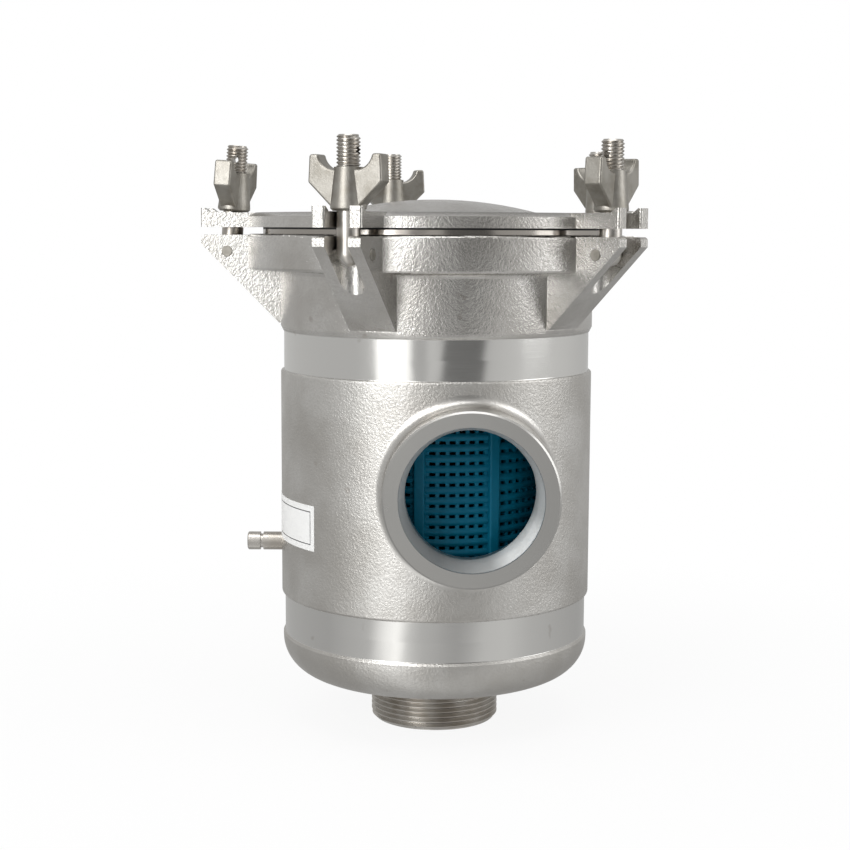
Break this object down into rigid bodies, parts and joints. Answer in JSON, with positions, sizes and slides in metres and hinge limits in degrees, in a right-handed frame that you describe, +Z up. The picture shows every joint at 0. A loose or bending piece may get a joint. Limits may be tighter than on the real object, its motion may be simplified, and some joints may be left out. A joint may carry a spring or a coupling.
{
  "type": "side inlet strainer",
  "caption": "Upright cast stainless suction strainer with a threaded side inlet, a threaded bottom outlet, a slotted basket and a domed cover held by hinged bolts with wing nuts.",
  "frame": {"origin": "centre of the bottom outlet's end face, on the vessel's axis", "axes": "+Z up along the vessel's axis, the side inlet opens towards -Y, +X to the right seen from the inlet"},
  "size_m": [0.2058, 0.2116, 0.2677],
  "materials": {
    "cast_steel": "blasted investment-cast stainless steel, satin and slightly rough",
    "turned_steel": "turned stainless steel with fine tool marks",
    "wing_nut_steel": "satin cast stainless steel",
    "seal_rubber": "smooth black elastomer",
    "basket_plastic": "moulded blue plastic, slightly glossy"
  },
  "bodies": {
    "housing": {"body_casting": "cast_steel", "neck_casting": "cast_steel", "bottom_cap": "cast_steel", "outlet_nipple": "turned_steel", "inlet_socket": "cast_steel", "bonding_boss": "turned_steel", "bonding_washer": "turned_steel", "bonding_screw": "turned_steel", "outlet_seal": "seal_rubber", "pivot_pin_1": "turned_steel", "pivot_pin_2": "turned_steel", "pivot_pin_3": "turned_steel", "pivot_pin_4": "turned_steel", "pivot_pin_5": "turned_steel"},
    "cover": {"cover": "cast_steel", "cover_gasket": "seal_rubber"},
    "basket": {"basket_screen": "basket_plastic", "basket_base": "basket_plastic", "basket_lid": "basket_plastic", "basket_handle": "turned_steel"},
    "swing_bolt_1": {"swing_bolt_1": "wing_nut_steel"},
    "wing_nut_1": {"wing_nut_1": "wing_nut_steel"},
    "swing_bolt_2": {"swing_bolt_2": "wing_nut_steel"},
    "wing_nut_2": {"wing_nut_2": "wing_nut_steel"},
    "swing_bolt_3": {"swing_bolt_3": "wing_nut_steel"},
    "wing_nut_3": {"wing_nut_3": "wing_nut_steel"},
    "swing_bolt_4": {"swing_bolt_4": "wing_nut_steel"},
    "wing_nut_4": {"wing_nut_4": "wing_nut_steel"},
    "swing_bolt_5": {"swing_bolt_5": "wing_nut_steel"},
    "wing_nut_5": {"wing_nut_5": "wing_nut_steel"}
  },
  "joints": [
    {"name": "cover_lift", "type": "slide", "parent": "housing", "child": "cover", "axis": [0, 0, 1], "range_m": [0, 0.015]},
    {"name": "basket_lift", "type": "slide", "parent": "housing", "child": "basket", "axis": [0, 0, 1], "range_m": [0, 0.012]},
    {"name": "bolt_swing_1", "type": "hinge", "parent": "housing", "child": "swing_bolt_1", "pos_m": [0.07354, -0.06171, 0.219], "axis": [0.6428, 0.766, 0], "range_deg": [0, 60]},
    {"name": "nut_run_1", "type": "slide", "parent": "swing_bolt_1", "child": "wing_nut_1", "axis": [0.0107, -0.009, 0.9999], "range_m": [0, 0.03]},
    {"name": "bolt_swing_2", "type": "hinge", "parent": "housing", "child": "swing_bolt_2", "pos_m": [0.08141, 0.05087, 0.219], "axis": [-0.5299, 0.848, 0], "range_deg": [0, 60]},
    {"name": "nut_run_2", "type": "slide", "parent": "swing_bolt_2", "child": "wing_nut_2", "axis": [-0.0503, -0.0314, 0.9982], "range_m": [0, 0.03]},
    {"name": "bolt_swing_3", "type": "hinge", "parent": "housing", "child": "swing_bolt_3", "pos_m": [-0.02322, 0.09315, 0.219], "axis": [-0.9703, -0.2419, 0], "range_deg": [0, 60]},
    {"name": "nut_run_3", "type": "slide", "parent": "swing_bolt_3", "child": "wing_nut_3", "axis": [0, 0, 1], "range_m": [0, 0.03]},
    {"name": "bolt_swing_4", "type": "hinge", "parent": "housing", "child": "swing_bolt_4", "pos_m": [-0.09577, 0.0067, 0.219], "axis": [-0.0698, -0.9976, 0], "range_deg": [0, 60]},
    {"name": "nut_run_4", "type": "slide", "parent": "swing_bolt_4", "child": "wing_nut_4", "axis": [0.0696, -0.0049, 0.9976], "range_m": [0, 0.03]},
    {"name": "bolt_swing_5", "type": "hinge", "parent": "housing", "child": "swing_bolt_5", "pos_m": [-0.03596, -0.08901, 0.219], "axis": [0.9272, -0.3746, 0], "range_deg": [0, 60]},
    {"name": "nut_run_5", "type": "slide", "parent": "swing_bolt_5", "child": "wing_nut_5", "axis": [0, 0, 1], "range_m": [0, 0.03]}
  ],
  "couplings": [
    {"joint": "basket_lift", "follows": "cover_lift", "ratio": 0.8},
    {"joint": "bolt_swing_1", "follows": "cover_lift", "rad_per_m": 69.813},
    {"joint": "nut_run_1", "follows": "cover_lift", "ratio": 2},
    {"joint": "bolt_swing_2", "follows": "cover_lift", "rad_per_m": 69.813},
    {"joint": "nut_run_2", "follows": "cover_lift", "ratio": 2},
    {"joint": "bolt_swing_3", "follows": "cover_lift", "rad_per_m": 69.813},
    {"joint": "nut_run_3", "follows": "cover_lift", "ratio": 2},
    {"joint": "bolt_swing_4", "follows": "cover_lift", "rad_per_m": 69.813},
    {"joint": "nut_run_4", "follows": "cover_lift", "ratio": 2},
    {"joint": "bolt_swing_5", "follows": "cover_lift", "rad_per_m": 69.813},
    {"joint": "nut_run_5", "follows": "cover_lift", "ratio": 2}
  ]
}
